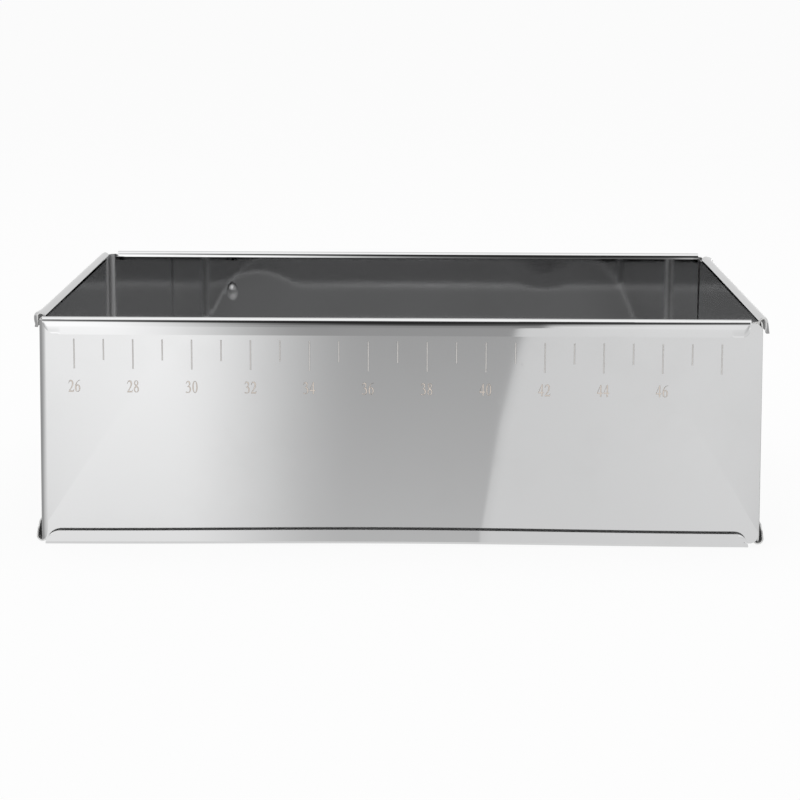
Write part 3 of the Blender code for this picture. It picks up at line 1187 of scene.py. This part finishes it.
class CAKEFRAME_OT_hemmed_sheets(Operator):
    """Build the two hemmed L-shaped sheets that the plain ones slide in"""

    bl_idname = "cakeframe.hemmed_sheets"
    bl_label = "Hemmed Sheets"

    def execute(self, context):
        sheets = context.scene.cakeframe_sheets
        finish = context.scene.cakeframe_finish
        shape = hemmed_shape(sheets)
        inside_hems = (
            rubbed_steel("rubbed_painted_light_upper_hem", finish.rubbed, finish),
            rubbed_steel("rubbed_painted_shade_lower_hem", finish.rubbed_low, finish),
        )
        corner = Vector((sheets.outer_length / 2, -sheets.outer_width / 2, 0.0))
        for place, turned in (("front_right", False), ("back_left", True)):
            name = f"hemmed_sheet_{place}"
            way = -1 if turned else 1
            worn = hemmed_wear(sheets, finish, way)
            tilt = (-way * finish.hemmed_turn, -finish.hemmed_lean)
            steel = polished_steel(f"hemmed_steel_{place}", finish, 2.17 + turned, worn, tilt)
            materials = (steel, sheared_edge(finish), *inside_hems)
            sheet = add_sheet(name, shape, corner, turned, materials, sheets)
            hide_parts(f"hemmed_panel_{place}")
            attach(sheet, f"hemmed_{place}")
        return {"FINISHED"}


class CAKEFRAME_OT_scales(Operator):
    """Etch the centimetre scales on both plain sheets"""

    bl_idname = "cakeframe.scales"
    bl_label = "Etched Scales"

    def execute(self, context):
        sheets = context.scene.cakeframe_sheets
        scale = context.scene.cakeframe_scale
        finish = context.scene.cakeframe_finish
        materials = (
            etched_mark("etched_mark", finish.etch, finish),
            etched_mark("etched_numeral", finish.etch_number, finish),
            etched_mark("etched_outline", finish.etch_outline, finish),
        )
        for place, turned in (("front_left", False), ("back_right", True)):
            marks = add_scale(f"etched_scale_{place}", turned, materials, sheets, scale)
            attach(marks, f"scale_{place}")
        return {"FINISHED"}


class CAKEFRAME_OT_stage(Operator):
    """Set the floor, the lamp, the reflection cards and the camera"""

    bl_idname = "cakeframe.stage"
    bl_label = "Stage"

    def execute(self, context):
        stage = context.scene.cakeframe_stage
        add_floor(stage)
        add_lamp(stage)
        add_cards(stage)
        add_camera(context.scene, stage)
        light_world(context.scene, stage)
        context.scene.view_settings.view_transform = "Standard"
        return {"FINISHED"}


def add_stage_mesh(name, points, faces, material):
    """A stage piece that isn't part of the object."""
    piece = add_mesh(name, points, faces, [material])
    return piece


def add_floor(stage):
    half = stage.floor_size / 2
    corners = [(-half, -half, 0.0), (half, -half, 0.0), (half, half, 0.0), (-half, half, 0.0)]
    add_stage_mesh("floor", corners, [(0, 1, 2, 3)], floor_material(stage))


def add_lamp(stage):
    light = bpy.data.lights.new("overhead_lamp", "AREA")
    light.shape = "SQUARE"
    light.size = stage.key_size
    light.energy = stage.key_power
    lamp = bpy.data.objects.new("overhead_lamp", light)
    lamp.location = (0.0, LAMP_BACK, stage.key_height)
    lamp.visible_glossy = False
    bpy.context.scene.collection.objects.link(lamp)


def add_card(name, points, faces, build):
    """A card seen only in the steel. build gives its brightness and how solid it is."""
    shader = Shader(bpy.data.materials.new(name))
    brightness, solid = build(shader)
    glow = shader.node("ShaderNodeEmission", None, {"Strength": brightness})
    clear = shader.node("ShaderNodeBsdfTransparent")
    inputs = {0: solid, 1: clear.outputs[0], 2: glow.outputs[0]}
    shader.output(shader.node("ShaderNodeMixShader", None, inputs))
    card = add_stage_mesh(name, points, faces, shader.owner)
    for ray in ("camera", "diffuse", "shadow", "transmission", "volume_scatter"):
        setattr(card, f"visible_{ray}", False)


def upright_band(radius, height, first, last, steps=64):
    """A curved upright card round the object between two directions, in degrees from the front."""
    points = []
    faces = []
    for step in range(steps + 1):
        angle = math.radians(first + (last - first) * step / steps)
        x, y = radius * math.sin(angle), -radius * math.cos(angle)
        points += [(x, y, 0.0), (x, y, height)]
        if step:
            base = 2 * step
            faces.append((base - 2, base, base + 1, base - 1))
    return points, faces


def lying_card(low_x, high_x, low_y, high_y, height):
    points = [(low_x, low_y), (high_x, low_y), (high_x, high_y), (low_x, high_y)]
    return [(x, y, height) for x, y in points], [(0, 1, 2, 3)]


def falling(side, brightness, fall, first, last):
    """A brightness that falls between two sides."""
    return brightness - fall * side.over(first, last)


class FrontLight:
    """The light before the long side: a bright screen, a slanted edge and a paler screen."""

    def __init__(self, shader, stage, turned):
        x, y, self.height = shader.parts(shader.coordinates())
        if turned:
            x, y = 0 - x, 0 - y
        front = FRONT_PLAIN_LOW.y
        self.distance = front - y
        reach = self.distance + (front - stage.camera_y)
        aside = x - stage.camera_x
        self.side = aside / reach
        edge = EDGE_START + EDGE_DRIFT * self.distance
        for distance, drift in EDGE_BENDS:
            edge += drift * (self.distance - distance).math("MAXIMUM", 0.0)
        self.off_edge = (aside - edge) / reach

    def level(self):
        """Brightness of the floor at this place."""
        near = falling(self.side, *NEAR_SCREEN)
        far = falling(self.side, *FAR_SCREEN)
        farness = (1.25 * self.distance / (self.distance + 0.65)).math("MINIMUM", 1.0)
        left = near + (far - near) * farness
        left = left - 0.4 * (1 - self.side.over(-0.45, -0.16))
        right = 0.91 + self.side.over(0.04, 0.15) * (0.06 + 0.14 * farness)
        edge = 0.7 * self.off_edge.over(-0.0008, 0.0012) + 0.3 * self.off_edge.over(-0.001, 0.006)
        return left + (right - left) * edge

    def dark(self):
        """How much of the dark room shows at this place, 0 near the horizon and 1 higher up."""
        rise = (self.height - HORIZON_HEIGHT) / self.distance
        spread = (self.side - DARK_MIDDLE) ** 2.0
        return ((rise - 7.0 * spread + 0.03) / (0.16 + 17.0 * spread)).over(0.0, 1.0)


def add_cards(stage):
    """Cards that shape the reflections, as round any polished piece in a studio, and cards of
    painted shade on the floor inside the frame and at its sides.
    """

    def dark_room(shader):
        light = FrontLight(shader, stage, False)
        level = light.level()
        gloom = stage.dark_room + 6.0 * light.side**2.0 * (1 - 0.7 * light.side.over(0.0, 0.1))
        return level + (gloom - level) * light.dark(), shader.number(1.0)

    def front_floor(shader, turned=False):
        light = FrontLight(shader, stage, turned)
        return light.level(), shader.number(1.0)

    def back_floor(shader):
        return front_floor(shader, True)

    def overhead(shader):
        return shader.number(stage.overhead), shader.number(1.0)

    # Painted shade on the floor inside the frame, where its walls shade it, lighter near the front
    # wall and darker near the short sides.
    def inside(shader):
        x, y, _ = shader.parts(shader.coordinates())
        off_middle = x.math("ABSOLUTE")
        from_front = y + half.y
        foot = 0.45 * (1 - from_front.over(0.0, 0.03)) - 0.12 * off_middle.over(0.09, 0.12)
        return stage.inside * (1 + foot), shader.number(1.0)

    # Painted shade: the floor at both sides reads darker in the steel than the real floor, and the
    # card fades out towards the front.
    def side_floor(shader):
        x, y, _ = shader.parts(shader.coordinates())
        out = (x.math("ABSOLUTE") - half.x).math("MAXIMUM", 0.0)
        forward = (0 - y - half.y).math("MAXIMUM", 0.0) / (out + 0.005)
        return shader.number(stage.side_shade), 0.6 / (forward + 0.6)

    half = Vector((FRONT_PLAIN_HIGH.x, -FRONT_PLAIN_LOW.y))
    inner = half - Vector((INSIDE_GAP, INSIDE_GAP))
    past = half.y + LONG_SIDE_GAP
    aside = half.x + SHORT_SIDE_GAP
    low = CARD_HEIGHT
    add_card("dark_room_card", *upright_band(4.0, 7.5, -75.0, 75.0), dark_room)
    add_card("front_floor_card", *lying_card(-4.0, 4.0, -4.0, -past, low), front_floor)
    add_card("back_floor_card", *lying_card(-4.0, 4.0, past, 4.0, low), back_floor)
    add_card("inside_painted_shade_card", *lying_card(-inner.x, inner.x, -inner.y, inner.y, low), inside)
    add_card("left_floor_shade_card", *lying_card(-2.0, -aside, -1.2, 1.2, 2 * low), side_floor)
    add_card("right_floor_shade_card", *lying_card(aside, 2.0, -1.2, 1.2, 2 * low), side_floor)
    add_card("overhead_card", *lying_card(-1.6, 1.6, -0.95, 1.4, 2.1), overhead)


def add_camera(scene, stage):
    """The camera at the photograph's place, from its turn, tilt and roll."""
    data = bpy.data.cameras.new("camera")
    data.lens = stage.focal_length
    data.clip_start, data.clip_end = CAMERA_REACH
    camera = bpy.data.objects.new("camera", data)
    turn = Matrix.Rotation(-stage.yaw, 4, "Z")
    tilt = Matrix.Rotation(QUARTER_TURN - stage.pitch, 4, "X")
    roll = Matrix.Rotation(stage.roll, 4, "Z")
    place = Matrix.Translation((stage.camera_x, stage.camera_y, stage.camera_z))
    camera.matrix_world = place @ turn @ tilt @ roll
    scene.collection.objects.link(camera)
    scene.camera = camera


def light_world(scene, stage):
    """A white background that gives the object only part of its light."""
    world = bpy.data.worlds.new("studio")
    scene.world = world
    shader = Shader(world)
    seen = seen_background(shader)
    strength = stage.ambient + (stage.background - stage.ambient) * seen
    surface = shader.node("ShaderNodeBackground", None, {"Strength": strength})
    shader.output(surface, "ShaderNodeOutputWorld")


class CAKEFRAME_PT_sidebar(Panel):
    """The cake frame's steps and sizes"""

    bl_idname = "CAKEFRAME_PT_sidebar"
    bl_label = "Cake Frame"
    bl_space_type = "VIEW_3D"
    bl_region_type = "UI"
    bl_category = "Cake Frame"

    def draw(self, context):
        column = self.layout.column()
        for operator in OPERATORS:
            column.operator(operator.bl_idname)
        for pointer, group in GROUPS.items():
            box = self.layout.box()
            for name in group.__annotations__:
                box.prop(getattr(context.scene, pointer), name)


OPERATORS = (
    CAKEFRAME_OT_plain_sheets,
    CAKEFRAME_OT_hemmed_sheets,
    CAKEFRAME_OT_scales,
    CAKEFRAME_OT_stage,
)
GROUPS = {
    "cakeframe_sheets": CakeFrameSheets,
    "cakeframe_scale": CakeFrameScale,
    "cakeframe_finish": CakeFrameFinish,
    "cakeframe_stage": CakeFrameStage,
}
CLASSES = (*GROUPS.values(), *OPERATORS, CAKEFRAME_PT_sidebar)


def register():
    for one in CLASSES:
        bpy.utils.register_class(one)
    for pointer, group in GROUPS.items():
        setattr(bpy.types.Scene, pointer, PointerProperty(type=group))


def unregister():
    for pointer in GROUPS:
        delattr(bpy.types.Scene, pointer)
    for one in reversed(CLASSES):
        bpy.utils.unregister_class(one)


def main():
    register()
    bpy.ops.cakeframe.plain_sheets()
    bpy.ops.cakeframe.hemmed_sheets()
    bpy.ops.cakeframe.scales()
    bpy.ops.cakeframe.stage()


if __name__ == "__main__":
    main()
